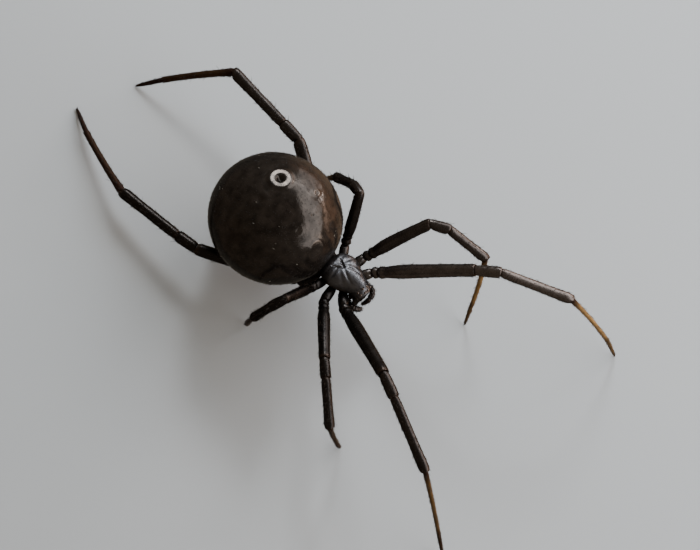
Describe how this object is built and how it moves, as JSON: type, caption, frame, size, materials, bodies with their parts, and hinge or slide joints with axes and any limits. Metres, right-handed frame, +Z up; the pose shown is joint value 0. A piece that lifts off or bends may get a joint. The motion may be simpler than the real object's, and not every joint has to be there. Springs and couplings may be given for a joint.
{
  "type": "black widow spider",
  "caption": "Life-size still model of a glossy black widow spider: globe abdomen, small grooved carapace and long bent legs, standing.",
  "frame": {"origin": "on the floor under the middle of the whole model's box", "axes": "the spider faces -Y, its left side is +X, +Z is up from the floor it stands on"},
  "size_m": [0.018, 0.0364, 0.0091],
  "materials": {
    "abdomen": "glossy jet-black cuticle with a brown cast, sparse short hairs, a red hourglass underneath",
    "cephalothorax": "glossy black-brown shell with radiating grooves",
    "spinnerets": "satin dark brown",
    "chelicera": "glossy black-brown",
    "palp": "glossy black-brown with short bristles",
    "leg": "glossy black-brown with short bristles",
    "metatarsus": "satin red-brown, darker at both ends",
    "tarsus": "satin dark brown"
  },
  "bodies": {
    "root": {"abdomen": "abdomen", "cephalothorax": "cephalothorax", "chelicera_left": "chelicera", "chelicera_right": "chelicera", "coxa_left_1": "leg", "coxa_left_2": "leg", "coxa_left_3": "leg", "coxa_left_4": "leg", "coxa_right_1": "leg", "coxa_right_2": "leg", "coxa_right_3": "leg", "coxa_right_4": "leg", "femur_left_1": "leg", "femur_left_2": "leg", "femur_left_3": "leg", "femur_left_4": "leg", "femur_right_1": "leg", "femur_right_2": "leg", "femur_right_3": "leg", "femur_right_4": "leg", "metatarsus_left_1": "metatarsus", "metatarsus_left_2": "metatarsus", "metatarsus_left_3": "metatarsus", "metatarsus_left_4": "metatarsus", "metatarsus_right_1": "metatarsus", "metatarsus_right_2": "metatarsus", "metatarsus_right_3": "metatarsus", "metatarsus_right_4": "metatarsus", "palp_left": "palp", "palp_right": "palp", "patella_left_1": "leg", "patella_left_2": "leg", "patella_left_3": "leg", "patella_left_4": "leg", "patella_right_1": "leg", "patella_right_2": "leg", "patella_right_3": "leg", "patella_right_4": "leg", "pedicel": "cephalothorax", "spinnerets": "spinnerets", "tarsus_left_1": "tarsus", "tarsus_left_2": "tarsus", "tarsus_left_3": "tarsus", "tarsus_left_4": "tarsus", "tarsus_right_1": "tarsus", "tarsus_right_2": "tarsus", "tarsus_right_3": "tarsus", "tarsus_right_4": "tarsus", "tibia_left_1": "leg", "tibia_left_2": "leg", "tibia_left_3": "leg", "tibia_left_4": "leg", "tibia_right_1": "leg", "tibia_right_2": "leg", "tibia_right_3": "leg", "tibia_right_4": "leg"}
  },
  "joints": []
}
